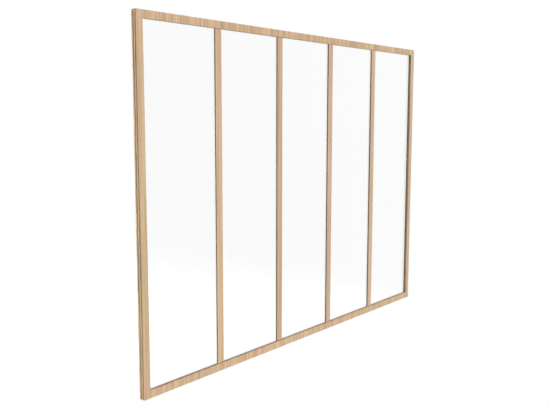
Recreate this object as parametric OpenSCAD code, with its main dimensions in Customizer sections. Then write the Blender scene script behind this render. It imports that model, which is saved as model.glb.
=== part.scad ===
// Framed glass partition wall: five full-height panes in a timber frame that fills an opening
// between floor, ceiling and two walls. All sizes are in millimetres.
//
// Every member is laid out in a bench frame: x runs from the left end of the wall to the right
// end, y is the depth measured back from the front face, and z is the height above the floor.
// The module on_floor_centre() then moves it so that the origin is at the middle of the
// underside, with +X to the right seen from the front and +Y to the rear.
//
// A section of the outer frame is drawn with u, measured inwards from the outer face, and the
// depth t. The sight line is the edge of the front lip, where the visible glass begins.

/* [Overall] */
// Width of the whole wall, left to right
wall_w = 3400; // [2600:50:4400]
// Height of the whole wall, floor to ceiling
wall_h = 2400; // [2000:50:3000]
// Depth of the frame, front to rear
frame_depth = 40; // [40:0.5:56]

/* [Frame faces] */
// Width of each stile seen from the front
stile_face = 54; // [50:1:80]
// Height of the top rail seen from the front
top_rail_face = 51; // [48:1:80]
// Height of the bottom rail seen from the front
bottom_rail_face = 53; // [48:1:120]
// Chamfer that eases the long visible edges
arris = 1; // [0.5:0.1:2]

/* [Glazing rebate] */
// Depth of the front lip, from the front face back to the rebate
lip_depth = 21; // [19:0.5:23]
// Width of the rebate, from the sight line to the wood beside the glass
rebate_w = 22; // [20:0.5:23]
// Width of glass hidden behind the lip
edge_cover = 17.5; // [14:0.5:18.5]

/* [Outer grooves] */
// Width of each groove at its floor
groove_w = 9; // [7:0.5:9.5]
// Depth of each groove from the outer face
groove_d = 10; // [8:0.5:12]
// Chamfer at both sides of each groove's mouth
lead_in = 2; // [1:0.25:2]
// Width of the flat shoulder in front of the front groove
front_shoulder = 6; // [4:0.5:7]
// Width of the flat rib between the two groove mouths
middle_rib = 6; // [4:0.5:7]

/* [Mullions] */
// Width of each mullion seen from the front
mullion_face = 60; // [58:1:80]
// Distance of the mullion's front behind the frame's front
mullion_setback = 11; // [5:0.5:14]
// Wood left at each side of the tenon on a mullion's end
tenon_shoulder = 3; // [2:0.5:3.5]
// Thickness of the tenon, front to rear
tenon_depth = 12; // [10:0.5:14]
// Length of the tenon that enters the rail
tenon_len = 10; // [6:0.5:12]

/* [Glass and tape] */
// Thickness of the laminated glass
glass_t = 6.4; // [5:0.2:8.8]
// Thickness of the tape on each face of the glass
tape_t = 1.5; // [1:0.25:2]
// Width of the tape between lip and glass
front_tape_w = 10; // [6:0.5:11]
// Distance of the front tape behind the sight line
front_tape_inset = 1; // [0.5:0.5:6]
// Distance of the rear tape behind the edge of the bead
rear_tape_inset = 1; // [0.5:0.5:2]

/* [Beads] */
// Width of a bead where it holds the glass
bead_w = 12; // [10.5:0.5:14]
// Width of the flat back of a bead
bead_crest = 4; // [2:0.5:8]
// Height of the square edge beside the glass, below the slope
bead_toe = 2; // [1:0.5:4]

/* [Glass blocks] */
// Length of each block that the glass stands on or is centred by
block_len = 100; // [50:5:150]
// Distance from the corner of a pane to the end of the nearest block
block_inset = 70; // [30:5:120]
// Gap between a centring block and the glass
block_gap = 0.3; // [0.1:0.1:0.5]

/* [Corner joints] */
// Diameter of the dowels in the corner joints
dowel_d = 8; // [6:1:10]
// Length of a dowel
dowel_len = 50; // [40:1:60]
// Length of a dowel inside the stile
dowel_in_stile = 20; // [15:1:25]
// Distance between the two dowels of a corner
dowel_pitch = 26; // [22:1:27]

/* [Screws] */
// Diameter of the screws that join the frame
screw_d = 4.5; // [4:0.5:5]
// Diameter of a screw head
screw_head_d = 8.5; // [8:0.5:9]
// Height of the countersunk part of a screw head
screw_head_h = 3; // [2:0.5:4]
// Length of a corner screw
corner_screw_len = 90; // [70:5:120]
// Length of a mullion screw
mullion_screw_len = 60; // [40:5:80]

/* [Bead pins] */
// Diameter of a bead pin
pin_d = 1.6; // [1.2:0.2:2]
// Diameter of a bead pin's head
pin_head_d = 2.6; // [2.4:0.2:3.4]
// Length of a pin in the wood behind the bead
pin_bite = 6; // [4:0.5:6.5]
// Depth of a pin's head below the slope of the bead
pin_punch = 0.2; // [0.1:0.1:0.5]
// Number of pins in an upright bead
pins_upright = 6; // [4:1:8]
// Number of pins in a level bead
pins_level = 4; // [2:2:6]

/* [Fixing holes] */
// Diameter of the holes for the screws into floor, walls and ceiling
fixing_d = 6; // [5:0.5:7]
// Diameter of the countersink of a fixing hole
fixing_head_d = 12; // [10:0.5:13]
// Height of a stile's first and last fixing hole from the end of the wall
fixing_end = 300; // [200:10:400]

/* [Clearances] */
// Gap around a dowel, screw, pin or tenon in its hole
joint_gap = 0.1; // [0.05:0.05:0.2]

/* [Hidden] */
$fn = 48;
eps = 0.5; // overshoot of a cut past the face that it opens

oak = [0.82, 0.70, 0.56];
oak_bead = [0.78, 0.66, 0.51];
beech = [0.86, 0.74, 0.58];
clear_glass = [0.80, 0.88, 0.87, 0.35];
tape_brown = [0.40, 0.31, 0.22];
block_black = [0.12, 0.12, 0.13];
bright_zinc = [0.72, 0.72, 0.70];

bay_count = 5; // every bay has its own named pieces
stile_fixings = 4; // holes in a stile
rail_fixing_bays = [1, 2, 4, 5]; // bays with a hole at their middle in each rail

// Width of a groove at its mouth
mouth_w = groove_w + 2 * lead_in;
// Depth at which each groove begins, and its middle
front_groove_t = front_shoulder;
rear_groove_t = front_shoulder + mouth_w + middle_rib;
front_joint_t = front_groove_t + mouth_w / 2;
rear_joint_t = rear_groove_t + mouth_w / 2;

// Heights of the sight lines and of the rebates behind them
sight_bottom = bottom_rail_face;
sight_top = wall_h - top_rail_face;
rebate_bottom = sight_bottom - rebate_w;
rebate_top = sight_top + rebate_w;

// Depths from the front face to each layer of the glazing
glass_front_t = lip_depth + tape_t;
glass_rear_t = glass_front_t + glass_t;
bead_front_t = glass_rear_t + tape_t;
bead_depth = frame_depth - bead_front_t;

edge_gap = rebate_w - edge_cover;
mullion_web = mullion_face - 2 * rebate_w;
tenon_w = mullion_web - 2 * tenon_shoulder;
bay_pitch = (wall_w - 2 * stile_face) / bay_count;

// The rear tape reaches from under the bead's edge to the edge of the glass
rear_tape_w = edge_cover - (rebate_w - bead_w + rear_tape_inset);

// Depth of the pins, a third of the way along a bead's slope, and the distance from the rebate
// to the top of a pin's head, which is sunk until all of it lies under the slope
pin_t = bead_front_t + bead_toe + (bead_depth - bead_toe) / 3;
bead_slope = (bead_w - bead_crest) / (bead_depth - bead_toe);
pin_seat = bead_w - (bead_w - bead_crest) / 3 - bead_slope * pin_head_d / 2 - pin_punch;
pin_head_h = pin_d / 2;

// Evenly spread places between two limits, half a step in from each
function spread(low, high, count) = [for (i = [0:count - 1]) low + (high - low) * (i + 0.5) / count];
function mullion_x(k) = stile_face + k * bay_pitch;
function sight_left(n) = n == 1 ? stile_face : mullion_x(n - 1) + mullion_face / 2;
function sight_right(n) = n == bay_count ? wall_w - stile_face : mullion_x(n) - mullion_face / 2;
function edge_rail_face(top) = top ? top_rail_face : bottom_rail_face;
function bay_middle(n) = (sight_left(n) + sight_right(n)) / 2;
function stile_fixing_z() =
    [for (i = [0:stile_fixings - 1]) fixing_end + i * (wall_h - 2 * fixing_end) / (stile_fixings - 1)];

// Placing helpers

module on_floor_centre() {
    translate([-wall_w / 2, -frame_depth / 2, 0]) children();
}

// A piece of the left end, or its mirror image at the right end
module at_end(right) {
    if (right) translate([wall_w, 0, 0]) mirror([1, 0, 0]) children();
    else children();
}

// A piece of the bottom edge, or its mirror image at the top edge
module at_edge(top) {
    if (top) translate([0, 0, wall_h]) mirror([0, 0, 1]) children();
    else children();
}

// Exchanges x and z, which turns a level piece into an upright one
module upright() {
    mirror([1, 0, -1]) children();
}

// A box given by its lowest and highest corner
module box(low, high) {
    translate(low) cube(high - low);
}

// A shape drawn with depth as x and height as y, drawn out along x
module level_bar(length) {
    rotate([90, 0, 90]) linear_extrude(height = length) children();
}

// Turned parts, all pointing along +x from x = 0

module along_x() {
    rotate([0, 90, 0]) children();
}

// Countersunk screw: half outline turned round its axis; gap makes the matching hole
module screw_body(length, gap = 0) {
    shank = screw_d / 2 + gap;
    head = screw_head_d / 2 + gap;
    mouth = gap > 0 ? eps : 0;
    along_x() rotate_extrude() polygon([
        [0, -mouth], [head, -mouth], [head, 0], [shank, screw_head_h],
        [shank, length - screw_d + gap], [gap > 0 ? shank : 0.2, length + gap], [0, length + gap]
    ]);
}

module wood_screw(length) {
    difference() {
        screw_body(length);
        along_x() translate([0, 0, -eps]) cylinder(d = screw_d * 0.75, h = screw_head_h / 2 + eps, $fn = 6);
    }
}

module screw_hole(length) {
    screw_body(length, joint_gap);
}

// Headed pin from the slope of a bead towards the wood behind it
module bead_pin() {
    along_x() {
        cylinder(d = pin_head_d, h = pin_head_h);
        cylinder(d = pin_d, h = pin_seat + pin_bite);
    }
}

// The pin's hole with its sunk head, which opens at the slope of the bead
module pin_hole() {
    along_x() {
        translate([0, 0, -bead_w]) cylinder(d = pin_head_d + 2 * joint_gap, h = bead_w + pin_head_h + joint_gap);
        cylinder(d = pin_d + 2 * joint_gap, h = pin_seat + pin_bite + joint_gap);
    }
}

// Outer frame

// Notch of one groove as points [u, t], a little past the outer face
module groove_notch(t) {
    polygon([
        [-eps, t], [0, t], [lead_in, t + lead_in], [groove_d, t + lead_in],
        [groove_d, t + mouth_w - lead_in], [lead_in, t + mouth_w - lead_in], [0, t + mouth_w],
        [-eps, t + mouth_w]
    ]);
}

module groove_pair() {
    groove_notch(front_groove_t);
    groove_notch(rear_groove_t);
}

// Section of a stile or rail, with u as x and t as y
module frame_section(face) {
    difference() {
        polygon([
            [arris, 0], [face - arris, 0], [face, arris], [face, lip_depth],
            [face - rebate_w, lip_depth], [face - rebate_w, frame_depth], [0, frame_depth], [0, arris]
        ]);
        groove_pair();
    }
}

// Exchanges x and y, for a section that is drawn with u as x and used on a level piece
module laid_level() {
    mirror([1, -1, 0]) children();
}

// The two grooves of the bottom edge, run past both ends of the wall
module edge_grooves() {
    translate([-eps, 0, 0]) level_bar(wall_w + 2 * eps) laid_level() groove_pair();
}

// Hole for a screw into wall, floor or ceiling, from the groove through to the rebate.
// It points along +x, with x = 0 at the outer face and its head at the rebate.
module fixing_hole(rebate_u) {
    sink = (fixing_head_d - fixing_d) / 2;
    along_x() {
        translate([0, 0, groove_d - eps]) cylinder(d = fixing_d, h = rebate_u - groove_d + 2 * eps);
        translate([0, 0, rebate_u - sink]) cylinder(d1 = fixing_d, d2 = fixing_head_d, h = sink);
        translate([0, 0, rebate_u]) cylinder(d = fixing_head_d, h = eps);
    }
}

// Dowels and screws of the lower left corner. Heights are taken in the solid part of the rail.
module corner_dowel_places(rail_face) {
    middle = (groove_d + rail_face) / 2;
    for (side = [-1, 1])
        translate([stile_face - dowel_in_stile, front_joint_t, middle + side * dowel_pitch / 2]) children();
}

module corner_screw_places(rail_face) {
    translate([groove_d, front_joint_t, (groove_d + rail_face) / 2]) children();
    translate([groove_d, rear_joint_t, (groove_d + rail_face - rebate_w) / 2]) children();
}

module corner_holes(rail_face) {
    corner_dowel_places(rail_face)
        translate([-joint_gap, 0, 0]) along_x()
            cylinder(d = dowel_d + 2 * joint_gap, h = dowel_len + 2 * joint_gap);
    corner_screw_places(rail_face) screw_hole(corner_screw_len);
}

module stile(right) {
    at_end(right) difference() {
        linear_extrude(height = wall_h) frame_section(stile_face);
        for (top = [false, true]) at_edge(top) {
            edge_grooves();
            corner_holes(edge_rail_face(top));
        }
        for (z = stile_fixing_z())
            translate([0, rear_joint_t, z]) fixing_hole(stile_face - rebate_w);
        upright_pins(stile_face - rebate_w) pin_hole();
    }
}

// The rail at the bottom edge; the one at the top edge is drawn the same way and mirrored
module rail(top) {
    rail_face = edge_rail_face(top);
    rebate_u = rail_face - rebate_w;
    rear_end = stile_face - rebate_w;
    at_edge(top) difference() {
        translate([rear_end, 0, 0]) level_bar(wall_w - 2 * rear_end)
            laid_level() frame_section(rail_face);
        for (right = [false, true]) at_end(right) {
            box([0, -eps, -eps], [stile_face, lip_depth, rail_face + eps]);
            corner_holes(rail_face);
        }
        for (n = rail_fixing_bays)
            translate([bay_middle(n), rear_joint_t, 0]) upright() fixing_hole(rebate_u);
        for (k = [1:bay_count - 1]) translate([mullion_x(k), 0, 0]) {
            tenon(rebate_u, joint_gap);
            translate([0, rear_joint_t, groove_d]) upright() screw_hole(mullion_screw_len);
        }
        for (n = [1:bay_count]) level_pins(n, rebate_u) pin_hole();
    }
}

module left_stile() {
    color(oak) on_floor_centre() stile(false);
}

module right_stile() {
    color(oak) on_floor_centre() stile(true);
}

module bottom_rail() {
    color(oak) on_floor_centre() rail(false);
}

module top_rail() {
    color(oak) on_floor_centre() rail(true);
}

// Mullions

// Tenon on a mullion's lower end, drawn about x = 0; gap makes the mortise in the rail
module tenon(rebate_u, gap = 0) {
    half = tenon_w / 2 + gap;
    top = rebate_u + (gap > 0 ? eps : 0);
    box([-half, rear_joint_t - tenon_depth / 2 - gap, rebate_u - tenon_len - gap],
        [half, rear_joint_t + tenon_depth / 2 + gap, top]);
}

// T section with its wide face to the front
module mullion_section() {
    face = mullion_face / 2;
    web = mullion_web / 2;
    polygon([
        [-face + arris, mullion_setback], [face - arris, mullion_setback],
        [face, mullion_setback + arris], [face, lip_depth], [web, lip_depth], [web, frame_depth],
        [-web, frame_depth], [-web, lip_depth], [-face, lip_depth], [-face, mullion_setback + arris]
    ]);
}

module mullion(k) {
    color(oak) on_floor_centre() difference() {
        translate([mullion_x(k), 0, 0]) {
            difference() {
                translate([0, 0, rebate_bottom])
                    linear_extrude(height = rebate_top - rebate_bottom) mullion_section();
                // The wide front part stops at the rails, and the web runs on into their rebates
                box([-mullion_face, 0, rebate_bottom - eps], [mullion_face, lip_depth, sight_bottom]);
                box([-mullion_face, 0, sight_top], [mullion_face, lip_depth, rebate_top + eps]);
            }
            tenon(rebate_bottom);
            at_edge(true) tenon(top_rail_face - rebate_w);
        }
        for (top = [false, true]) at_edge(top)
            translate([mullion_x(k), rear_joint_t, groove_d]) upright() screw_hole(mullion_screw_len);
        translate([mullion_x(k), 0, 0]) for (right = [false, true])
            mirror([right ? 0 : 1, 0, 0]) upright_pins(mullion_web / 2) pin_hole();
    }
}

// Glass, tapes and blocks

module glass_pane(n) {
    color(clear_glass) on_floor_centre()
        box([sight_left(n) - edge_cover, glass_front_t, sight_bottom - edge_cover],
            [sight_right(n) + edge_cover, glass_rear_t, sight_top + edge_cover]);
}

// Four strips of tape round bay n. Their inner edges lie this far behind the sight lines.
module tape_strips(n, inset, width, front_t) {
    rear_t = front_t + tape_t;
    left = sight_left(n) - inset;
    right = sight_right(n) + inset;
    bottom = sight_bottom - inset;
    top = sight_top + inset;
    box([left - width, front_t, bottom - width], [right + width, rear_t, bottom]);
    box([left - width, front_t, top], [right + width, rear_t, top + width]);
    box([left - width, front_t, bottom + joint_gap], [left, rear_t, top - joint_gap]);
    box([right, front_t, bottom + joint_gap], [right + width, rear_t, top - joint_gap]);
}

module front_tape(n) {
    color(tape_brown) on_floor_centre() tape_strips(n, front_tape_inset, front_tape_w, lip_depth);
}

// The rear tape ends at the edge of the glass
module rear_tape(n) {
    color(tape_brown) on_floor_centre()
        tape_strips(n, edge_cover - rear_tape_w, rear_tape_w, glass_rear_t);
}

// Blocks stay between the front lip and the bead
module block(low_x, high_x, low_z, high_z) {
    box([low_x, glass_front_t, low_z], [high_x, glass_rear_t, high_z]);
}

// The two blocks under each pane
module setting_blocks() {
    color(block_black) on_floor_centre() for (n = [1:bay_count]) {
        left = sight_left(n) - edge_cover + block_inset;
        right = sight_right(n) + edge_cover - block_inset;
        block(left, left + block_len, rebate_bottom, rebate_bottom + edge_gap);
        block(right - block_len, right, rebate_bottom, rebate_bottom + edge_gap);
    }
}

// The blocks beside and above each pane, seated on the wood and just clear of the glass
module centring_blocks() {
    thick = edge_gap - block_gap;
    low = sight_bottom - edge_cover + block_inset;
    high = sight_top + edge_cover - block_inset;
    color(block_black) on_floor_centre() for (n = [1:bay_count]) {
        left = sight_left(n) - rebate_w;
        right = sight_right(n) + rebate_w;
        inner_left = left + edge_gap + block_inset;
        inner_right = right - edge_gap - block_inset;
        for (z = [low, high - block_len]) {
            block(left, left + thick, z, z + block_len);
            block(right - thick, right, z, z + block_len);
        }
        for (x = [inner_left, inner_right - block_len])
            block(x, x + block_len, rebate_top - thick, rebate_top);
    }
}

// Glazing beads

// A mitred bead along x, with z = 0 on the rebate and y = 0 at the tape
module bead_strip(length) {
    intersection() {
        level_bar(length) polygon([
            [0, 0], [0, bead_w], [bead_toe, bead_w], [bead_depth, bead_crest], [bead_depth, 0]
        ]);
        translate([0, bead_depth + eps, 0]) rotate([90, 0, 0])
            linear_extrude(height = bead_depth + 2 * eps) polygon([
                [-eps, -eps], [length + eps, -eps],
                [length - bead_w - eps, bead_w + eps], [bead_w + eps, bead_w + eps]
            ]);
    }
}

// Pins of the upright beads along one face of wood at x = face_x, which points to +x
module upright_pins(face_x) {
    for (z = spread(rebate_bottom, rebate_top, pins_upright))
        translate([face_x + pin_seat, pin_t, z]) mirror([1, 0, 0]) children();
}

// Pins of a level bead of bay n along the rebate of a bottom rail
module level_pins(n, rebate_u) {
    for (x = spread(sight_left(n) - rebate_w, sight_right(n) + rebate_w, pins_level))
        translate([x, pin_t, rebate_u + pin_seat]) mirror([0, 0, 1]) upright() children();
}

// A bead along the rebate of the bottom rail, or of the top rail
module level_bead(n, top) {
    left = sight_left(n) - rebate_w;
    rebate_u = edge_rail_face(top) - rebate_w;
    color(oak_bead) on_floor_centre() at_edge(top) difference() {
        translate([left, bead_front_t, rebate_u]) bead_strip(sight_right(n) + rebate_w - left);
        level_pins(n, rebate_u) pin_hole();
    }
}

// A bead at the left of bay n, or at its right, drawn about the rebate there
module upright_bead(n, right) {
    edge = right ? sight_right(n) + rebate_w : sight_left(n) - rebate_w;
    color(oak_bead) on_floor_centre() translate([edge, 0, 0]) mirror([right ? 1 : 0, 0, 0])
        difference() {
            translate([0, bead_front_t, rebate_bottom]) upright() bead_strip(rebate_top - rebate_bottom);
            upright_pins(0) pin_hole();
        }
}

module bottom_bead(n) {
    level_bead(n, false);
}

module top_bead(n) {
    level_bead(n, true);
}

module left_bead(n) {
    upright_bead(n, false);
}

module right_bead(n) {
    upright_bead(n, true);
}

// Fasteners

module corner_dowels() {
    color(beech) on_floor_centre() for (right = [false, true], top = [false, true])
        at_end(right) at_edge(top) corner_dowel_places(edge_rail_face(top))
            along_x() cylinder(d = dowel_d, h = dowel_len);
}

module corner_screws() {
    color(bright_zinc) on_floor_centre() for (right = [false, true], top = [false, true])
        at_end(right) at_edge(top) corner_screw_places(edge_rail_face(top))
            wood_screw(corner_screw_len);
}

module mullion_screws() {
    color(bright_zinc) on_floor_centre() for (top = [false, true]) at_edge(top)
        for (k = [1:bay_count - 1])
            translate([mullion_x(k), rear_joint_t, groove_d]) upright() wood_screw(mullion_screw_len);
}

module bead_pins() {
    color(bright_zinc) on_floor_centre() for (n = [1:bay_count]) {
        for (top = [false, true])
            at_edge(top) level_pins(n, edge_rail_face(top) - rebate_w) bead_pin();
        upright_pins(sight_left(n) - rebate_w) bead_pin();
        translate([sight_right(n) + rebate_w, 0, 0]) mirror([1, 0, 0]) upright_pins(0) bead_pin();
    }
}

left_stile();
right_stile();
top_rail();
bottom_rail();
mullion(1);  // mullion_1
mullion(2);  // mullion_2
mullion(3);  // mullion_3
mullion(4);  // mullion_4
glass_pane(1);  // glass_pane_1
glass_pane(2);  // glass_pane_2
glass_pane(3);  // glass_pane_3
glass_pane(4);  // glass_pane_4
glass_pane(5);  // glass_pane_5
front_tape(1);  // front_tape_1
front_tape(2);  // front_tape_2
front_tape(3);  // front_tape_3
front_tape(4);  // front_tape_4
front_tape(5);  // front_tape_5
rear_tape(1);  // rear_tape_1
rear_tape(2);  // rear_tape_2
rear_tape(3);  // rear_tape_3
rear_tape(4);  // rear_tape_4
rear_tape(5);  // rear_tape_5
bottom_bead(1);  // bottom_bead_1
bottom_bead(2);  // bottom_bead_2
bottom_bead(3);  // bottom_bead_3
bottom_bead(4);  // bottom_bead_4
bottom_bead(5);  // bottom_bead_5
top_bead(1);  // top_bead_1
top_bead(2);  // top_bead_2
top_bead(3);  // top_bead_3
top_bead(4);  // top_bead_4
top_bead(5);  // top_bead_5
left_bead(1);  // left_bead_1
left_bead(2);  // left_bead_2
left_bead(3);  // left_bead_3
left_bead(4);  // left_bead_4
left_bead(5);  // left_bead_5
right_bead(1);  // right_bead_1
right_bead(2);  // right_bead_2
right_bead(3);  // right_bead_3
right_bead(4);  // right_bead_4
right_bead(5);  // right_bead_5
setting_blocks();
centring_blocks();
corner_dowels();
corner_screws();
mullion_screws();
bead_pins();
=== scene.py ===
"""Dresses the glazed oak partition: five tall panes in a slim timber frame, in a pale studio."""

import logging
import math
from dataclasses import dataclass, field
from enum import Enum

import bpy
from mathutils import Matrix, Vector


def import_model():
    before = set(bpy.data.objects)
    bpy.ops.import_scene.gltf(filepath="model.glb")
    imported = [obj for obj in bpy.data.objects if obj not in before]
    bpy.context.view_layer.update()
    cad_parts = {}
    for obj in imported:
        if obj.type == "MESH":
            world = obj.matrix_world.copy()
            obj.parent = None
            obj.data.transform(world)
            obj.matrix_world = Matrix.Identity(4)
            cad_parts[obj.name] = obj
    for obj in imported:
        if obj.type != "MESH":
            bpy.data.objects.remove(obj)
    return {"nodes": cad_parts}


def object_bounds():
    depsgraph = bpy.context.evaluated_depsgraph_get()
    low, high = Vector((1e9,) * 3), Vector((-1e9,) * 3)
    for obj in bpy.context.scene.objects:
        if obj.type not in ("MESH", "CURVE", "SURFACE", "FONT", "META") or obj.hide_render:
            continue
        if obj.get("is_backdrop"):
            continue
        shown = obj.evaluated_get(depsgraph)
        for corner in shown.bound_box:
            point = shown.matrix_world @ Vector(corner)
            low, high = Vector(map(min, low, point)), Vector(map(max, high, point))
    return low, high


LOG = logging.getLogger("partition")
BAYS = range(1, 6)

Socket = bpy.types.NodeSocket
Value = float | Socket
Triple = tuple[float, float, float]
Box = list[list[float]]

COOLER: Triple = (-0.06, 0.01, 0.1)


def srgb(red: int, green: int, blue: int) -> Triple:
    """Turns a colour as it is seen on a screen into the linear colour that a shader takes.

    Args:
        red: Red, from 0 to 255.
        green: Green, from 0 to 255.
        blue: Blue, from 0 to 255.

    Returns:
        The linear red, green and blue.
    """
    def linear(level: int) -> float:
        """Returns one channel's linear value."""
        share = level / 255
        return share / 12.92 if share <= 0.04045 else ((share + 0.055) / 1.055) ** 2.4

    return linear(red), linear(green), linear(blue)


class GrainAxis(Enum):
    """The way that the grain of a piece runs, as the turn about Y that stands it upright."""

    UPRIGHT = 0.0
    LEVEL = math.pi / 2


class NodeSheet:
    """Adds nodes to one node tree and joins them."""

    def __init__(self, tree: bpy.types.NodeTree) -> None:
        """Starts with an empty tree.

        Args:
            tree: The node tree to fill.
        """
        self.tree = tree
        self.tree.nodes.clear()

    def add(self, kind: str, **settings: object) -> bpy.types.Node:
        """Adds one node.

        Args:
            kind: The node's type, such as ShaderNodeMath.
            **settings: Properties of the node.

        Returns:
            The new node.
        """
        node = self.tree.nodes.new(kind)
        node.location = (180 * len(self.tree.nodes), 0)
        for name, value in settings.items():
            setattr(node, name, value)
        return node

    def feed(self, target: Socket, value: object) -> None:
        """Joins a socket to an input, or sets the input to a plain value.

        Args:
            target: The input.
            value: A socket, a number or a tuple. A colour gets its alpha here.
        """
        if isinstance(value, bpy.types.NodeSocket):
            self.tree.links.new(value, target)
        elif target.type == "RGBA" and isinstance(value, tuple):
            target.default_value = (*value[:3], 1.0)
        else:
            target.default_value = value

    def math(self, operation: str, *values: Value) -> Socket:
        """Adds a Math node.

        Args:
            operation: The node's operation, such as MULTIPLY.
            *values: Its inputs in order.

        Returns:
            The result.
        """
        node = self.add("ShaderNodeMath", operation=operation)
        for target, value in zip(node.inputs, values):
            self.feed(target, value)
        return node.outputs[0]

    def vector(self, operation: str, *values: object, output: str = "Vector") -> Socket:
        """Adds a Vector Math node.

        Args:
            operation: The node's operation, such as DOT_PRODUCT.
            *values: Its inputs in order.
            output: Which of its two outputs is wanted.

        Returns:
            The result.
        """
        node = self.add("ShaderNodeVectorMath", operation=operation)
        for target, value in zip(node.inputs, values):
            self.feed(target, value)
        return node.outputs[output]

    def scaled(self, coordinates: Socket, per_metre: Triple) -> Socket:
        """Stretches coordinates, so that a pattern repeats so many times in a metre."""
        return self.vector("MULTIPLY", coordinates, per_metre)

    def noise(self, coordinates: Socket, detail: float = 2.0, roughness: float = 0.5) -> Socket:
        """Makes soft noise.

        Args:
            coordinates: Where to take the noise, with one cell to a unit.
            detail: How many finer layers lie over the first.
            roughness: How strong the finer layers are.

        Returns:
            The noise, about 0.5 on average.
        """
        node = self.add("ShaderNodeTexNoise")
        self.feed(node.inputs["Vector"], coordinates)
        node.inputs["Scale"].default_value = 1.0
        node.inputs["Detail"].default_value = detail
        node.inputs["Roughness"].default_value = roughness
        return node.outputs["Fac"]

    def cells(self, coordinates: Socket, output: str = "Distance") -> Socket:
        """Makes scattered cells.

        Args:
            coordinates: Where to take the cells, with one to a unit.
            output: Distance, or Color for each cell's own colour.

        Returns:
            The distance to the nearest cell's middle, or that cell's colour.
        """
        node = self.add("ShaderNodeTexVoronoi")
        self.feed(node.inputs["Vector"], coordinates)
        node.inputs["Scale"].default_value = 1.0
        return node.outputs[output]

    def between(self, value: Value, low: Value, high: Value,
                out_low: float = 0.0, out_high: float = 1.0) -> Socket:
        """Turns a value between low and high smoothly into one between two others.

        Args:
            value: The value to turn.
            low: Where the result is out_low.
            high: Where the result is out_high.
            out_low: The first result.
            out_high: The last result.

        Returns:
            The result.
        """
        node = self.add("ShaderNodeMapRange", interpolation_type="SMOOTHSTEP")
        for name, item in (("Value", value), ("From Min", low), ("From Max", high),
                           ("To Min", out_low), ("To Max", out_high)):
            self.feed(node.inputs[name], item)
        return node.outputs["Result"]

    def mix(self, factor: Value, first: object, second: object, blend: str = "MIX") -> Socket:
        """Mixes two colours.

        Args:
            factor: The share of the second colour.
            first: The first colour.
            second: The second colour.
            blend: The way of mixing.

        Returns:
            The mixed colour.
        """
        node = self.add("ShaderNodeMix", data_type="RGBA", blend_type=blend)
        self.feed(node.inputs[0], factor)
        self.feed(node.inputs[6], first)
        self.feed(node.inputs[7], second)
        return node.outputs[2]

    def shade(self, colour: object, level: Socket) -> Socket:
        """Makes a colour darker or lighter.

        Args:
            colour: The colour.
            level: What it is multiplied by.

        Returns:
            The shaded colour.
        """
        grey = self.add("ShaderNodeCombineColor")
        for target in grey.inputs:
            self.feed(target, level)
        return self.mix(1.0, colour, grey.outputs[0], "MULTIPLY")

    def apart(self, coordinates: Socket) -> tuple[Socket, Socket, Socket]:
        """Takes coordinates or a colour apart.

        Args:
            coordinates: The coordinates or the colour.

        Returns:
            Its three numbers.
        """
        node = self.add("ShaderNodeSeparateXYZ")
        self.feed(node.inputs[0], coordinates)
        return tuple(node.outputs)


class EffectGroup:
    """A shader node group with named inputs and outputs, made once and used by many finishes."""

    title: str = "effect"
    takes: dict[str, tuple[str, object]] = {}
    gives: dict[str, str] = {}

    def __init__(self) -> None:
        """Makes the group's sockets and fills it."""
        self.tree = bpy.data.node_groups.new(self.title, "ShaderNodeTree")
        face = self.tree.interface
        for name, (kind, default) in self.takes.items():
            socket = face.new_socket(name, in_out="INPUT", socket_type=f"NodeSocket{kind}")
            if default is not None:
                socket.default_value = default
        for name, kind in self.gives.items():
            face.new_socket(name, in_out="OUTPUT", socket_type=f"NodeSocket{kind}")
        sheet = NodeSheet(self.tree)
        source = sheet.add("NodeGroupInput")
        results = self.fill(sheet, {s.name: s for s in source.outputs if s.name})
        end = sheet.add("NodeGroupOutput")
        for name, socket in results.items():
            sheet.feed(end.inputs[name], socket)

    def fill(self, sheet: NodeSheet, given: dict[str, Socket]) -> dict[str, Socket]:
        """Builds the effect.

        Args:
            sheet: The group's own sheet.
            given: The group's inputs by name.

        Returns:
            What each output gets.
        """
        raise NotImplementedError

    def place(self, sheet: NodeSheet, **values: object) -> dict[str, Socket]:
        """Puts the group into a material.

        Args:
            sheet: The material's sheet.
            **values: The inputs, with _ for a space in a name.

        Returns:
            The outputs by name.
        """
        node = sheet.add("ShaderNodeGroup", node_tree=self.tree)
        for name, value in values.items():
            sheet.feed(node.inputs[name.replace("_", " ")], value)
        return {s.name: s for s in node.outputs}


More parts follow.
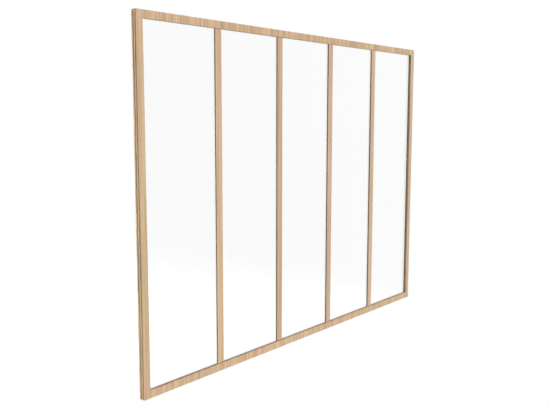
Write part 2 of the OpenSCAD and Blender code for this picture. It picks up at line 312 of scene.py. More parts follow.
class TimberGrain(EffectGroup):
    """Ring-porous timber with its grain along Z: staves, streaks, year rings, pores and rays.

    A pitch is a number of cells in a metre, twice across the grain and once along it. Sizes are
    in metres.
    """

    title = "timber grain"
    takes = {
        "Vector": ("Vector", None),
        "Shift": ("Float", 0.0),
        "Stave Width": ("Float", 0.1),
        "Pale": ("Color", (0.6, 0.45, 0.28, 1.0)),
        "Ruddy": ("Color", (0.62, 0.41, 0.27, 1.0)),
        "Dark": ("Color", (0.36, 0.22, 0.12, 1.0)),
        "Streaks": ("Float", 0.3),
        "Bands": ("Float", 0.15),
        "Pores": ("Float", 0.5),
    }
    gives = {"Color": "Color", "Roughness": "Float", "Height": "Float"}
    board_step: Triple = (3.7, 1.9, 5.3)
    lean_pitch: Triple = (1.5, 1.5, 0.5)
    most_lean: float = 0.025
    depth_share: float = 0.6
    stave_pitch_along: float = 0.13
    stave_shift: Triple = (0.8, 0.8, 0.8)
    broad_pitch: Triple = (38, 38, 0.6)
    streak_pitch: Triple = (85, 85, 1.3)
    fibre_pitch: Triple = (520, 520, 7)
    band_pitch: Triple = (24, 24, 0.4)
    pith: tuple[float, float] = (0.31, 0.17)
    wobble_pitch: Triple = (4, 4, 0.6)
    most_wobble: float = 0.05
    year_ring: float = 0.0052
    pore_pitch: Triple = (1250, 1250, 34)
    pore_colour: Triple = (0.07, 0.036, 0.016)
    pore_strength: float = 0.75
    ray_pitch: Triple = (45, 210, 22)
    ray_strength: float = 0.16
    stave_tones: float = 0.1
    darkest_stave: float = 0.965
    fibre_strength: float = 0.1
    early_strength: float = 0.07
    most_dark: float = 0.85
    roughness: float = 0.47

    def fill(self, sheet: NodeSheet, given: dict[str, Socket]) -> dict[str, Socket]:
        """Builds the timber.

        Args:
            sheet: The group's own sheet.
            given: The group's inputs by name.

        Returns:
            What each output gets.
        """
        s = sheet
        away = s.add("ShaderNodeCombineXYZ")
        for target, share in zip(away.inputs, self.board_step):
            s.feed(target, s.math("MULTIPLY", given["Shift"], share))
        board = s.vector("ADD", given["Vector"], away.outputs[0])
        lean = s.math("MULTIPLY_ADD", s.noise(s.scaled(board, self.lean_pitch), 1.0),
                      2 * self.most_lean, -self.most_lean)
        across = s.add("ShaderNodeCombineXYZ")
        s.feed(across.inputs[0], lean)
        s.feed(across.inputs[1], s.math("MULTIPLY", lean, self.depth_share))
        board = s.vector("ADD", board, across.outputs[0])

        # Staves are strips of differing colour, each cut from another board.
        per_stave = s.math("DIVIDE", 1.0, given["Stave Width"])
        pitch = s.add("ShaderNodeCombineXYZ")
        s.feed(pitch.inputs[0], per_stave)
        s.feed(pitch.inputs[1], s.math("MULTIPLY", per_stave, self.depth_share))
        s.feed(pitch.inputs[2], self.stave_pitch_along)
        stave = s.cells(s.vector("MULTIPLY", board, pitch.outputs[0]), "Color")
        hue, tone, _ = s.apart(stave)
        own = s.vector("ADD", board, s.vector("MULTIPLY", stave, self.stave_shift))

        broad = s.between(s.noise(s.scaled(own, self.broad_pitch), 1.5), 0.34, 0.66)
        streak = s.between(s.noise(s.scaled(own, self.streak_pitch), 3.0, 0.6), 0.34, 0.68)
        fine = s.between(s.noise(s.scaled(own, self.fibre_pitch), 2.0, 0.6), 0.3, 0.7)

        # Year rings run round a pith that lies beside the board.
        x, y, _ = s.apart(own)
        wobble = s.math("MULTIPLY", s.noise(s.scaled(own, self.wobble_pitch), 2.0),
                        self.most_wobble)
        flat = s.add("ShaderNodeCombineXYZ")
        s.feed(flat.inputs[0], s.math("ADD", x, self.pith[0]))
        s.feed(flat.inputs[1], s.math("ADD", y, self.pith[1]))
        radius = s.math("ADD", s.vector("LENGTH", flat.outputs[0], output="Value"), wobble)
        year = s.math("FRACT", s.math("DIVIDE", radius, self.year_ring))
        late = s.between(year, 0.12, 0.85)
        early = s.math("SUBTRACT", 1.0, s.between(year, 0.2, 0.5))

        hole = s.cells(s.scaled(own, self.pore_pitch))
        pore = s.math("MULTIPLY", s.between(hole, 0.42, 0.2), s.between(early, 0.0, 1.0, 0.25, 1.0))
        pore = s.math("MULTIPLY", pore, given["Pores"])
        ray = s.between(s.cells(s.scaled(own, self.ray_pitch)), 0.3, 0.12)

        warm = s.math("ADD", s.math("MULTIPLY", hue, 0.4), s.math("MULTIPLY", broad, 0.6))
        colour = s.mix(s.between(warm, 0.2, 0.8), given["Pale"], given["Ruddy"])
        band = s.between(s.noise(s.scaled(own, self.band_pitch), 2.0, 0.6), 0.34, 0.66)
        level = s.math("MULTIPLY_ADD", tone, self.stave_tones, self.darkest_stave)
        even = s.math("MULTIPLY", s.math("SUBTRACT", band, 0.5), given["Bands"])
        colour = s.shade(colour, s.math("ADD", even, level))
        dark = s.math("MULTIPLY", s.math("SUBTRACT", 1.0, streak), given["Streaks"])
        dark = s.math("MULTIPLY_ADD", s.math("SUBTRACT", 1.0, fine), self.fibre_strength, dark)
        dark = s.math("MULTIPLY_ADD", s.math("SUBTRACT", 1.0, late), self.early_strength, dark)
        colour = s.mix(s.math("MINIMUM", dark, self.most_dark), colour, given["Dark"])
        colour = s.mix(s.math("MULTIPLY", pore, self.pore_strength), colour, self.pore_colour)
        colour = s.mix(s.math("MULTIPLY", ray, self.ray_strength), colour, given["Pale"])

        rough = s.math("MULTIPLY_ADD", pore, 0.2, self.roughness)
        rough = s.math("MULTIPLY_ADD", fine, 0.06, rough)
        rough = s.math("MULTIPLY_ADD", broad, 0.05, rough)
        height = s.math("MULTIPLY_ADD", pore, -1.0, s.math("MULTIPLY", fine, 0.22))
        height = s.math("MULTIPLY_ADD", late, 0.18, height)
        return {"Color": colour, "Roughness": rough, "Height": height}


class EdgeWear(EffectGroup):
    """Edges rubbed to another colour, in broken patches."""

    title = "edge wear"
    takes = {
        "Vector": ("Vector", None),
        "Color": ("Color", (0.5, 0.5, 0.5, 1.0)),
        "Worn Color": ("Color", (0.8, 0.8, 0.8, 1.0)),
        "Width": ("Float", 0.002),
        "Amount": ("Float", 0.5),
    }
    gives = {"Color": "Color", "Edge": "Float"}
    flat_face: float = 0.99
    full_edge: float = 0.8
    patch_pitch: Triple = (24, 24, 9)

    def fill(self, sheet: NodeSheet, given: dict[str, Socket]) -> dict[str, Socket]:
        """Builds the wear.

        Args:
            sheet: The group's own sheet.
            given: The group's inputs by name.

        Returns:
            What each output gets.
        """
        s = sheet
        bevel = s.add("ShaderNodeBevel", samples=6)
        s.feed(bevel.inputs["Radius"], given["Width"])
        face = s.add("ShaderNodeNewGeometry")
        same = s.vector("DOT_PRODUCT", bevel.outputs[0], face.outputs["Normal"], output="Value")
        edge = s.between(same, self.flat_face, self.full_edge)
        patches = s.noise(s.scaled(given["Vector"], self.patch_pitch), 3.0, 0.65)
        edge = s.math("MULTIPLY", edge, s.between(patches, 0.35, 0.65, 0.25, 1.0))
        rubbed = s.math("MULTIPLY", edge, given["Amount"])
        return {"Color": s.mix(rubbed, given["Color"], given["Worn Color"]), "Edge": edge}


class PaintedSideShade(EffectGroup):
    """Painted shade: darkens the faces that are turned to one side towards a shade colour, a little
    unevenly.
    """

    title = "painted side shade"
    takes = {
        "Vector": ("Vector", None),
        "Color": ("Color", (0.5, 0.5, 0.5, 1.0)),
        "Sealer": ("Color", (0.14, 0.07, 0.03, 1.0)),
        "Side": ("Vector", None),
        "Amount": ("Float", 0.8),
    }
    gives = {"Color": "Color"}
    first_turned: float = 0.9
    fully_turned: float = 0.98
    shade_pitch: Triple = (60, 60, 4)

    def fill(self, sheet: NodeSheet, given: dict[str, Socket]) -> dict[str, Socket]:
        """Builds the coat.

        Args:
            sheet: The group's own sheet.
            given: The group's inputs by name.

        Returns:
            What each output gets.
        """
        s = sheet
        face = s.add("ShaderNodeTexCoord")
        turned = s.vector("DOT_PRODUCT", face.outputs["Normal"], given["Side"], output="Value")
        uneven_shade = s.noise(s.scaled(given["Vector"], self.shade_pitch), 3.0, 0.6)
        # Painted shade: faces turned to the given side are mixed towards the dark shade colour.
        shade_mask = s.math("MULTIPLY", s.between(turned, self.first_turned, self.fully_turned),
                      s.between(uneven_shade, 0.3, 0.7, 0.9, 1.0))
        shade_mask = s.math("MULTIPLY", shade_mask, given["Amount"])
        return {"Color": s.mix(shade_mask, given["Color"], given["Sealer"])}


class Mottle(EffectGroup):
    """Fine uneven speckle of a moulded, foamed or plated surface."""

    title = "mottle"
    takes = {
        "Vector": ("Vector", None),
        "Cells Per Metre": ("Float", 600.0),
        "Light": ("Color", (0.5, 0.5, 0.5, 1.0)),
        "Dark": ("Color", (0.3, 0.3, 0.3, 1.0)),
    }
    gives = {"Color": "Color", "Patches": "Float", "Height": "Float"}
    patches_per_cell: Triple = (0.08, 0.08, 0.08)
    patch_share: float = 0.4
    pit_share: float = 0.7

    def fill(self, sheet: NodeSheet, given: dict[str, Socket]) -> dict[str, Socket]:
        """Builds the speckle.

        Args:
            sheet: The group's own sheet.
            given: The group's inputs by name.

        Returns:
            What each output gets.
        """
        s = sheet
        stretch = s.add("ShaderNodeVectorMath", operation="SCALE")
        s.feed(stretch.inputs[0], given["Vector"])
        s.feed(stretch.inputs["Scale"], given["Cells Per Metre"])
        place = stretch.outputs[0]
        grain = s.between(s.noise(place, 3.0, 0.6), 0.3, 0.7)
        pits = s.between(s.cells(place), 0.1, 0.6)
        patches = s.between(s.noise(s.scaled(place, self.patches_per_cell), 2.0), 0.35, 0.65)
        share = s.math("MULTIPLY_ADD", patches, self.patch_share,
                       s.math("MULTIPLY", grain, 1 - self.patch_share))
        height = s.math("ADD", s.math("MULTIPLY", pits, self.pit_share),
                        s.math("MULTIPLY", grain, 1 - self.pit_share))
        return {"Color": s.mix(share, given["Dark"], given["Light"]),
                "Patches": patches, "Height": height}


@dataclass(frozen=True)
class Effects:
    """The node groups that the finishes share."""

    grain: TimberGrain
    wear: EdgeWear
    side_shade: PaintedSideShade
    mottle: Mottle


class Finish:
    """Base of all finishes: starts a material and gives it its surface."""

    def begin(self, name: str) -> tuple[bpy.types.Material, NodeSheet, bpy.types.Node, Socket]:
        """Starts a material.

        Args:
            name: The material's name.

        Returns:
            The material, its sheet, its surface shader and the object's coordinates in metres.
        """
        material = bpy.data.materials.new(name)
        material.use_nodes = True
        sheet = NodeSheet(material.node_tree)
        place = sheet.add("ShaderNodeTexCoord")
        surface = sheet.add("ShaderNodeBsdfPrincipled")
        end = sheet.add("ShaderNodeOutputMaterial")
        sheet.feed(end.inputs["Surface"], surface.outputs[0])
        return material, sheet, surface, place.outputs["Object"]

    def bump(self, sheet: NodeSheet, surface: bpy.types.Node, height: Socket, depth: float,
             rounding: float = 0.0) -> None:
        """Gives the surface relief.

        Args:
            sheet: The material's sheet.
            surface: The surface shader.
            height: The relief, where 1 is the full depth.
            depth: The full depth in metres.
            rounding: Radius in metres to which edges look rounded, or 0.
        """
        relief = sheet.add("ShaderNodeBump")
        relief.inputs["Distance"].default_value = depth
        sheet.feed(relief.inputs["Height"], height)
        if rounding:
            edge = sheet.add("ShaderNodeBevel", samples=4)
            edge.inputs["Radius"].default_value = rounding
            sheet.feed(relief.inputs["Normal"], edge.outputs[0])
        sheet.feed(surface.inputs["Normal"], relief.outputs[0])


@dataclass(frozen=True)
class Board:
    """What sets one member's timber apart: where in the tree it lies, its colour and its figure.

    Lightness and figure are 1 for plain timber, and coolness is 0. COOLER is the share that a
    coolness of 1 adds to each of red, green and blue.
    """

    shift: float
    lightness: float = 1.0
    coolness: float = 0.0
    figure: float = 1.0

    def tinted(self, colour: Triple) -> Triple:
        """Returns a timber colour as this board has it."""
        share = (1.0 + more * self.coolness for more in COOLER)
        return tuple(part * self.lightness * own for part, own in zip(colour, share))


@dataclass(frozen=True)
class Timber(Finish):
    """An oiled timber, with painted shade on its faces that are turned outwards, towards the
    building.

    Each member has its own board, so that no two look the same.
    """

    name: str
    board: Board
    axis: GrainAxis = GrainAxis.UPRIGHT
    stave_width: float = 0.1
    pale: Triple = srgb(211, 186, 147)
    ruddy: Triple = srgb(214, 178, 148)
    dark: Triple = srgb(150, 112, 76)
    worn: Triple = srgb(172, 142, 108)
    streaks: float = 0.38
    bands: float = 0.15
    pores: float = 0.5
    wear: float = 0.5
    shaded_side: Triple | None = None
    # The colour of the painted shade on the outward faces, and how strongly it is mixed in.
    shade_tint: Triple = srgb(104, 76, 50)
    side_shade: float = 0.8
    wear_width: float = 0.0022
    rubbed_polish: float = 0.08
    sheen: float = 0.32
    relief: float = 0.00035
    rounding: float = 0.0007

    def build(self, effects: Effects) -> bpy.types.Material:
        """Builds the material.

        Args:
            effects: The shared node groups.

        Returns:
            The material.
        """
        material, sheet, surface, place = self.begin(self.name)
        if self.axis is GrainAxis.LEVEL:
            turn = sheet.add("ShaderNodeVectorRotate", rotation_type="Y_AXIS")
            turn.inputs["Angle"].default_value = self.axis.value
            sheet.feed(turn.inputs["Vector"], place)
            place = turn.outputs[0]
        grain = effects.grain.place(sheet, Vector=place, Shift=self.board.shift,
                                    Stave_Width=self.stave_width,
                                    Pale=self.board.tinted(self.pale),
                                    Ruddy=self.board.tinted(self.ruddy), Dark=self.dark,
                                    Streaks=self.streaks * self.board.figure,
                                    Bands=self.bands * self.board.figure, Pores=self.pores)
        worn = effects.wear.place(sheet, Vector=place, Color=grain["Color"],
                                  Worn_Color=self.worn, Width=self.wear_width, Amount=self.wear)
        colour = worn["Color"]
        # Painted shade on the faces turned to the shaded side.
        if self.shaded_side:
            side_shaded = effects.side_shade.place(sheet, Vector=place, Color=colour, Sealer=self.shade_tint,
                                        Side=self.shaded_side, Amount=self.side_shade)
            colour = side_shaded["Color"]
        sheet.feed(surface.inputs["Base Color"], colour)
        rough = sheet.math("MULTIPLY_ADD", worn["Edge"], -self.rubbed_polish, grain["Roughness"])
        sheet.feed(surface.inputs["Roughness"], rough)
        surface.inputs["Specular IOR Level"].default_value = self.sheen
        self.bump(sheet, surface, grain["Height"], self.relief, self.rounding)
        return material


@dataclass(frozen=True)
class ClearGlass(Finish):
    """Clear laminated safety glass, with the faint film that wiping leaves."""

    name: str = "clear_laminated_glass"
    tint: Triple = (0.992, 0.998, 0.995)
    bending: float = 1.5
    mirroring: float = 0.15
    film: float = 0.02
    wipe_pitch: Triple = (3.5, 40, 1.2)
    smear_pitch: Triple = (18, 40, 9)
    shadow: Triple = (0.9, 0.915, 0.905)

    def build(self, effects: Effects) -> bpy.types.Material:
        """Builds the material.

        Args:
            effects: The shared node groups, not used here.

        Returns:
            The material.
        """
        material, sheet, surface, place = self.begin(self.name)
        surface.inputs["Base Color"].default_value = (*self.tint, 1.0)
        surface.inputs["Transmission Weight"].default_value = 1.0
        surface.inputs["IOR"].default_value = self.bending
        surface.inputs["Specular IOR Level"].default_value = self.mirroring
        wipes = sheet.noise(sheet.scaled(place, self.wipe_pitch), 4.0, 0.6)
        smears = sheet.noise(sheet.scaled(place, self.smear_pitch), 3.0, 0.7)
        film = sheet.math("MULTIPLY", sheet.between(wipes, 0.5, 0.72),
                          sheet.between(smears, 0.4, 0.7))
        sheet.feed(surface.inputs["Roughness"], sheet.math("MULTIPLY", film, self.film))
        way = sheet.add("ShaderNodeLightPath")
        through = sheet.add("ShaderNodeBsdfTransparent")
        sheet.feed(through.inputs[0], self.shadow)
        choice = sheet.add("ShaderNodeMixShader")
        sheet.feed(choice.inputs[0], way.outputs["Is Shadow Ray"])
        sheet.feed(choice.inputs[1], surface.outputs[0])
        sheet.feed(choice.inputs[2], through.outputs[0])
        end = next(n for n in material.node_tree.nodes if n.type == "OUTPUT_MATERIAL")
        sheet.feed(end.inputs["Surface"], choice.outputs[0])
        return material


@dataclass(frozen=True)
class Compound(Finish):
    """A foamed or moulded soft plastic, such as glazing tape or packing blocks."""

    name: str
    light: Triple
    dark: Triple
    cells_per_metre: float
    roughness: float
    depth: float
    unevenness: float = 0.12
    sheen: float = 0.35

    def build(self, effects: Effects) -> bpy.types.Material:
        """Builds the material.

        Args:
            effects: The shared node groups.

        Returns:
            The material.
        """
        material, sheet, surface, place = self.begin(self.name)
        spots = effects.mottle.place(sheet, Vector=place, Cells_Per_Metre=self.cells_per_metre,
                                     Light=self.light, Dark=self.dark)
        sheet.feed(surface.inputs["Base Color"], spots["Color"])
        rough = sheet.math("MULTIPLY_ADD", spots["Patches"], self.unevenness,
                           self.roughness - self.unevenness / 2)
        sheet.feed(surface.inputs["Roughness"], rough)
        surface.inputs["Specular IOR Level"].default_value = self.sheen
        self.bump(sheet, surface, spots["Height"], self.depth)
        return material


@dataclass(frozen=True)
class PlatedSteel(Finish):
    """Zinc-plated steel, with a dull bloom and rubbed edges."""

    name: str = "zinc_plated_steel"
    light: Triple = srgb(206, 208, 206)
    dark: Triple = srgb(158, 164, 168)
    worn: Triple = srgb(232, 232, 228)
    cells_per_metre: float = 2600.0
    wear_width: float = 0.0003
    wear: float = 0.8
    smoothest: float = 0.3
    unevenness: float = 0.14
    depth: float = 0.00002

    def build(self, effects: Effects) -> bpy.types.Material:
        """Builds the material.

        Args:
            effects: The shared node groups.

        Returns:
            The material.
        """
        material, sheet, surface, place = self.begin(self.name)
        bloom = effects.mottle.place(sheet, Vector=place, Cells_Per_Metre=self.cells_per_metre,
                                     Light=self.light, Dark=self.dark)
        worn = effects.wear.place(sheet, Vector=place, Color=bloom["Color"],
                                  Worn_Color=self.worn, Width=self.wear_width, Amount=self.wear)
        sheet.feed(surface.inputs["Base Color"], worn["Color"])
        surface.inputs["Metallic"].default_value = 1.0
        rough = sheet.math("MULTIPLY_ADD", bloom["Patches"], self.unevenness, self.smoothest)
        sheet.feed(surface.inputs["Roughness"], rough)
        self.bump(sheet, surface, bloom["Height"], self.depth)
        return material


def dress(node: bpy.types.Object, material: bpy.types.Material) -> None:
    """Gives a piece its finish through the object's own material slots.

    Args:
        node: The piece.
        material: Its finish.
    """
    if not node.material_slots:
        node.data.materials.append(None)
    for slot in node.material_slots:
        slot.link = "OBJECT"
        slot.material = material


@dataclass
class OuterFrame:
    """The two stiles and two rails. The photographed rails show upright grain, as the stiles do.

    A shaded side is the direction of the building, seen from that member, and faces turned that way
    get painted shade.
    """

    stave_width: float = 0.1
    boards: dict[str, Board] = field(default_factory=lambda: {
        "left_stile": Board(shift=2.6, lightness=1.01, coolness=0.2),
        "right_stile": Board(shift=2.3, lightness=1.04, coolness=1.05),
        "top_rail": Board(shift=3.1, lightness=1.01, coolness=0.1, figure=1.15),
        "bottom_rail": Board(shift=4.6, lightness=1.05, coolness=0.1, figure=1.15)})
    # Painted shade darkens the faces turned to these sides.
    shaded_sides: dict[str, Triple] = field(default_factory=lambda: {
        "left_stile": (-1.0, 0.0, 0.0), "right_stile": (1.0, 0.0, 0.0),
        "top_rail": (0.0, 0.0, 1.0), "bottom_rail": (0.0, 0.0, -1.0)})

    def dress(self, nodes: dict[str, bpy.types.Object], effects: Effects) -> None:
        """Gives each member its own boards.

        Args:
            nodes: The CAD nodes by name.
            effects: The shared node groups.
        """
        for name, board in self.boards.items():
            oak = Timber(f"oak_{name}", board, stave_width=self.stave_width,
                         shaded_side=self.shaded_sides[name])
            dress(nodes[name], oak.build(effects))
            LOG.info("%s: oiled oak, staves %.0f mm wide", name, 1000 * self.stave_width)


@dataclass
class Mullions:
    """The four uprights between the panes."""

    boards: tuple[Board, ...] = (
        Board(shift=5.1, lightness=1.035, coolness=0.3, figure=0.8),
        Board(shift=7.0, lightness=0.92, coolness=0.0, figure=0.85),
        Board(shift=8.94, lightness=0.995, coolness=0.8, figure=0.85),
        Board(shift=10.31, lightness=1.06, coolness=1.25, figure=0.85))
    stave_width: float = 0.12

    def dress(self, nodes: dict[str, bpy.types.Object], effects: Effects) -> None:
        """Gives each mullion its own board.

        Args:
            nodes: The CAD nodes by name.
            effects: The shared node groups.
        """
        for number, board in enumerate(self.boards, 1):
            name = f"mullion_{number}"
            oak = Timber(f"oak_{name}", board, stave_width=self.stave_width)
            dress(nodes[name], oak.build(effects))
            LOG.info("%s: oiled oak", name)


@dataclass
class GlazedBays:
    """The panes with their tapes and beads."""

    upright_board: Board = Board(13.1)
    level_board: Board = Board(15.7)
    stave_width: float = 0.06

    def dress(self, nodes: dict[str, bpy.types.Object], effects: Effects) -> None:
        """Dresses the panes, tapes and beads of every bay.

        Args:
            nodes: The CAD nodes by name.
            effects: The shared node groups.
        """
        glass = ClearGlass().build(effects)
        tape = Compound("glazing_tape", light=srgb(128, 104, 78), dark=srgb(98, 78, 57),
                        cells_per_metre=1400.0, roughness=0.8, depth=0.00012).build(effects)
        upright = Timber("oak_bead_upright", self.upright_board,
                         stave_width=self.stave_width).build(effects)
        level = Timber("oak_bead_level", self.level_board, GrainAxis.LEVEL,
                       self.stave_width).build(effects)
        finishes = {"glass_pane": glass, "front_tape": tape, "rear_tape": tape,
                    "left_bead": upright, "right_bead": upright,
                    "bottom_bead": level, "top_bead": level}
        for bay in BAYS:
            for name, material in finishes.items():
                dress(nodes[f"{name}_{bay}"], material)
            LOG.info("bay %d: pane, tapes and beads dressed", bay)


@dataclass
class Fittings:
    """The blocks, dowels, screws and pins inside the joints."""

    dowel_board: Board = Board(21.3)
    dowel_stave_width: float = 0.02

    def dress(self, nodes: dict[str, bpy.types.Object], effects: Effects) -> None:
        """Dresses the fittings.

        Args:
            nodes: The CAD nodes by name.
            effects: The shared node groups.
        """
        block = Compound("packing_block", light=srgb(58, 58, 60), dark=srgb(38, 38, 40),
                         cells_per_metre=500.0, roughness=0.45, depth=0.0001).build(effects)
        beech = Timber("beech_dowel", self.dowel_board, GrainAxis.LEVEL, self.dowel_stave_width,
                       pale=srgb(222, 190, 152), ruddy=srgb(214, 172, 134),
                       dark=srgb(160, 116, 80), worn=srgb(230, 204, 172),
                       streaks=0.18, bands=0.08, pores=0.15, wear=0.2).build(effects)
        steel = PlatedSteel().build(effects)
        finishes = {"setting_blocks": block, "centring_blocks": block, "corner_dowels": beech,
                    "corner_screws": steel, "mullion_screws": steel, "bead_pins": steel}
        for name, material in finishes.items():
            dress(nodes[name], material)
            LOG.info("%s: %s", name, material.name)


@dataclass
class PhotoCamera:
    """The camera, as fitted to the edges of the frame in the photograph.

    The place is in metres, the angles are in degrees, and the lens and sensor in millimetres.
    """

    place: Triple = (-4.52487, -3.36548, 1.76800)
    heading: float = 50.9578
    tilt: float = -7.09415
    roll: float = 0.07189
    lens: float = 46.818
    sensor: float = 36.0
    farthest: float = 200.0

    def build(self) -> bpy.types.Object:
        """Makes the camera and makes it the scene's own.

        Returns:
            The camera.
        """
        yaw, pitch, roll = (math.radians(a) for a in (self.heading, self.tilt, self.roll))
        ahead = Vector((math.sin(yaw) * math.cos(pitch), math.cos(yaw) * math.cos(pitch),
                        math.sin(pitch)))
        side = Vector((math.cos(yaw), -math.sin(yaw), 0.0))
        top = side.cross(ahead)
        right = side * math.cos(roll) + top * math.sin(roll)
        up = top * math.cos(roll) - side * math.sin(roll)
        data = bpy.data.cameras.new("photo_camera")
        data.sensor_fit = "HORIZONTAL"
        data.sensor_width = self.sensor
        data.lens = self.lens
        data.clip_end = self.farthest
        camera = bpy.data.objects.new("photo_camera", data)
        bpy.context.scene.collection.objects.link(camera)
        camera.matrix_world = Matrix.Translation(self.place) @ Matrix(
            (right, up, -ahead)).transposed().to_4x4()
        bpy.context.scene.camera = camera
        LOG.info("camera: %.1f mm lens", self.lens)
        return camera


@dataclass(frozen=True)
class SoftLamp:
    """A lamp far away from the partition, so that its light is even from end to end.

    The spread, the height and the side are angles in degrees. The side is 0 for a lamp in front
    and positive towards the left end.
    """

    name: str
    strength: float
    spread: float
    height: float
    side: float
    sheen: bool = True

    def build(self) -> bpy.types.Object:
        """Makes the lamp.

        Returns:
            The lamp.
        """
        data = bpy.data.lights.new(self.name, "SUN")
        data.energy = self.strength
        data.angle = math.radians(self.spread)
        lamp = bpy.data.objects.new(self.name, data)
        bpy.context.scene.collection.objects.link(lamp)
        lift, side = math.radians(self.height), math.radians(self.side)
        towards = Vector((-math.sin(side) * math.cos(lift), -math.cos(side) * math.cos(lift),
                          math.sin(lift)))
        lamp.rotation_euler = towards.to_track_quat("Z", "Y").to_euler()
        lamp.visible_glossy = self.sheen
        return lamp


@dataclass
class Studio:
    """A pale floor in a white room, with lamps on all sides of the partition.

    The front lamp is the main one. It stands low, so that the reveals stay dark, and the weaker
    ones light the sides that face away from it. A narrow strip lamp shines past the left front
    corner into the outer grooves, at strip_side degrees from the front.
    """

    half_floor: float = 60.0
    floor_gap: float = 0.0006
    floor_paint: float = 0.03
    seen_paint: float = 0.3
    floor_glow: float = 0.803
    room_light: float = 0.12
    mirrored_floor_ends: tuple[float, float] = (-0.27, -0.16)
    mirrored_wall_ends: tuple[float, float] = (36.0, 70.0)
    mirrored_wall_level: float = 0.8
    lamps: tuple[SoftLamp, ...] = (
        SoftLamp("front_lamp", strength=3.3, spread=8.0, height=4.5, side=-6.0),
        SoftLamp("rear_lamp", strength=1.6, spread=0.3, height=0.0, side=186.0, sheen=False),
        SoftLamp("top_lamp", strength=1.4, spread=0.3, height=89.7, side=180.0, sheen=False),
        SoftLamp("left_lamp", strength=0.7, spread=0.2, height=0.0, side=89.7, sheen=False),
        SoftLamp("right_lamp", strength=0.8, spread=0.2, height=0.0, side=-90.0, sheen=False))
    strip_power: float = 0.27
    strip_width: float = 0.02
    strip_height: float = 3.0
    strip_spread: float = 1.0
    strip_side: float = 27.0
    strip_reach: float = 0.25
    strip_colour: Triple = (0.95, 1.0, 1.04)

    def seen_directly(self, sheet: NodeSheet) -> tuple[Socket, Socket]:
        """Tells the rays that come from the camera, also through glass or by a mirror image.

        Args:
            sheet: The sheet of the world or of a material.

        Returns:
            1 for rays straight from the camera or through glass, and 1 for mirrored rays.
        """
        way = sheet.add("ShaderNodeLightPath")
        first = sheet.math("LESS_THAN", way.outputs["Diffuse Depth"], 0.5)
        straight = sheet.math("MAXIMUM", way.outputs["Is Camera Ray"],
                              way.outputs["Is Transmission Ray"])
        return (sheet.math("MULTIPLY", straight, first),
                sheet.math("MULTIPLY", way.outputs["Is Glossy Ray"], first))

    def build_room(self) -> None:
        """Makes the room: white to look at, a soft even light, and grey above in mirror images."""
        world = bpy.data.worlds.new("studio_room")
        bpy.context.scene.world = world
        world.use_nodes = True
        sheet = NodeSheet(world.node_tree)
        straight, mirrored = self.seen_directly(sheet)
        place = sheet.add("ShaderNodeTexCoord")
        x, y, z = sheet.apart(place.outputs["Generated"])
        floor_start, floor_end = self.mirrored_floor_ends
        low = sheet.between(z, floor_start, floor_end, 1.0, 0.0)
        turn = sheet.math("ABSOLUTE", sheet.math("ARCTAN2", x, sheet.math("MULTIPLY", y, -1.0)))
        wall_start, wall_end = (math.radians(a) for a in self.mirrored_wall_ends)
        wall = sheet.between(turn, wall_start, wall_end, 0.0, self.mirrored_wall_level)
        mirror = sheet.math("MAXIMUM", low, wall)
        extra = sheet.math("SUBTRACT", mirror, self.room_light)
        level = sheet.math("MULTIPLY_ADD", mirrored, extra, self.room_light)
        level = sheet.math("MULTIPLY_ADD", straight, sheet.math("SUBTRACT", 1.0, level), level)
        light = sheet.add("ShaderNodeBackground")
        light.inputs["Color"].default_value = (1.0, 1.0, 1.0, 1.0)
        sheet.feed(light.inputs["Strength"], level)
        end = sheet.add("ShaderNodeOutputWorld")
        sheet.feed(end.inputs["Surface"], light.outputs[0])

    def build_floor(self) -> bpy.types.Object:
        """Makes the floor, which is near white to look at and keeps the shadow.

        Returns:
            The floor.
        """
        reach, low = self.half_floor, -self.floor_gap
        mesh = bpy.data.meshes.new("studio_floor")
        mesh.from_pydata([(-reach, -reach, low), (reach, -reach, low), (reach, reach, low),
                          (-reach, reach, low)], [], [(0, 1, 2, 3)])
        floor = bpy.data.objects.new("studio_floor", mesh)
        bpy.context.scene.collection.objects.link(floor)
        material = bpy.data.materials.new("studio_floor")
        material.use_nodes = True
        sheet = NodeSheet(material.node_tree)
        straight, mirrored = self.seen_directly(sheet)
        seen = sheet.math("MAXIMUM", straight, mirrored)
        paint = sheet.add("ShaderNodeBsdfDiffuse")
        colour = sheet.mix(seen, (self.floor_paint,) * 3, (self.seen_paint,) * 3)
        sheet.feed(paint.inputs["Color"], colour)
        glow = sheet.add("ShaderNodeEmission")
        sheet.feed(glow.inputs["Strength"], sheet.math("MULTIPLY", seen, self.floor_glow))
        both = sheet.add("ShaderNodeAddShader")
        sheet.feed(both.inputs[0], paint.outputs[0])
        sheet.feed(both.inputs[1], glow.outputs[0])
        end = sheet.add("ShaderNodeOutputMaterial")
        sheet.feed(end.inputs["Surface"], both.outputs[0])
        mesh.materials.append(material)
        floor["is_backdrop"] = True
        floor.visible_glossy = False
        return floor

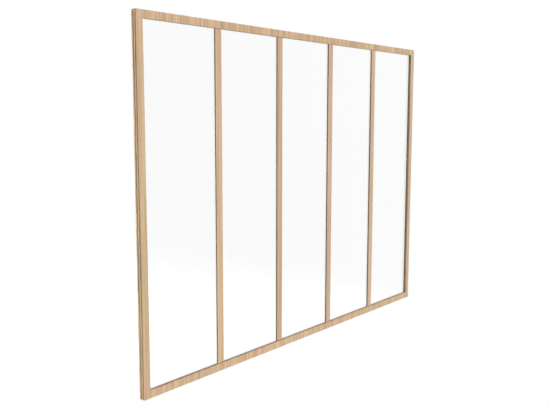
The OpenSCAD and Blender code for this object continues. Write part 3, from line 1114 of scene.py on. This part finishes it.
    def build_strip(self, box: Box) -> bpy.types.Object:
        """Makes the narrow upright lamp that shines past the left front corner into the grooves.

        Args:
            box: The low and high corner of the partition's bounding box.

        Returns:
            The lamp.
        """
        data = bpy.data.lights.new("side_strip", "AREA")
        data.shape = "RECTANGLE"
        data.size = self.strip_height
        data.size_y = self.strip_width
        data.spread = math.radians(self.strip_spread)
        data.energy = self.strip_power
        data.color = self.strip_colour
        strip = bpy.data.objects.new("side_strip", data)
        bpy.context.scene.collection.objects.link(strip)
        side = math.radians(self.strip_side)
        ahead = Vector((math.sin(side), math.cos(side), 0.0))
        up = Vector((0.0, 0.0, 1.0))
        across = up.cross(ahead)
        low, high = (Vector(end) for end in box)
        corner = Vector((low.x, low.y, (low.z + high.z) / 2))
        place = corner + across * self.strip_width / 2 - ahead * self.strip_reach
        strip.matrix_world = Matrix.Translation(place) @ Matrix(
            (up, across, -ahead)).transposed().to_4x4()
        strip.visible_camera = False
        strip.visible_glossy = False
        strip.visible_transmission = False
        return strip

    def build(self, box: Box) -> None:
        """Makes the room, the floor and the lamps, and sets plain colour handling.

        Args:
            box: The low and high corner of the partition's bounding box.
        """
        bpy.context.scene.view_settings.view_transform = "Standard"
        self.build_room()
        self.build_floor()
        for lamp in self.lamps:
            lamp.build()
        self.build_strip(box)
        LOG.info("studio: floor, room light %.2f, %d lamps and a strip lamp", self.room_light,
                 len(self.lamps))


def corners(bounds: object) -> Box:
    """Turns the two corners of a bounding box into plain lists."""
    return [[float(v) for v in corner] for corner in bounds]


def main() -> None:
    """Builds the scene, one sub-assembly after the other."""
    logging.basicConfig(level=logging.INFO, format="%(name)s: %(message)s")
    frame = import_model()
    cad_box = corners(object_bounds())
    nodes = frame["nodes"]
    PhotoCamera().build()
    Studio().build(cad_box)
    effects = Effects(TimberGrain(), EdgeWear(), PaintedSideShade(), Mottle())
    OuterFrame().dress(nodes, effects)
    Mullions().dress(nodes, effects)
    GlazedBays().dress(nodes, effects)
    Fittings().dress(nodes, effects)


if __name__ == "__main__":
    main()
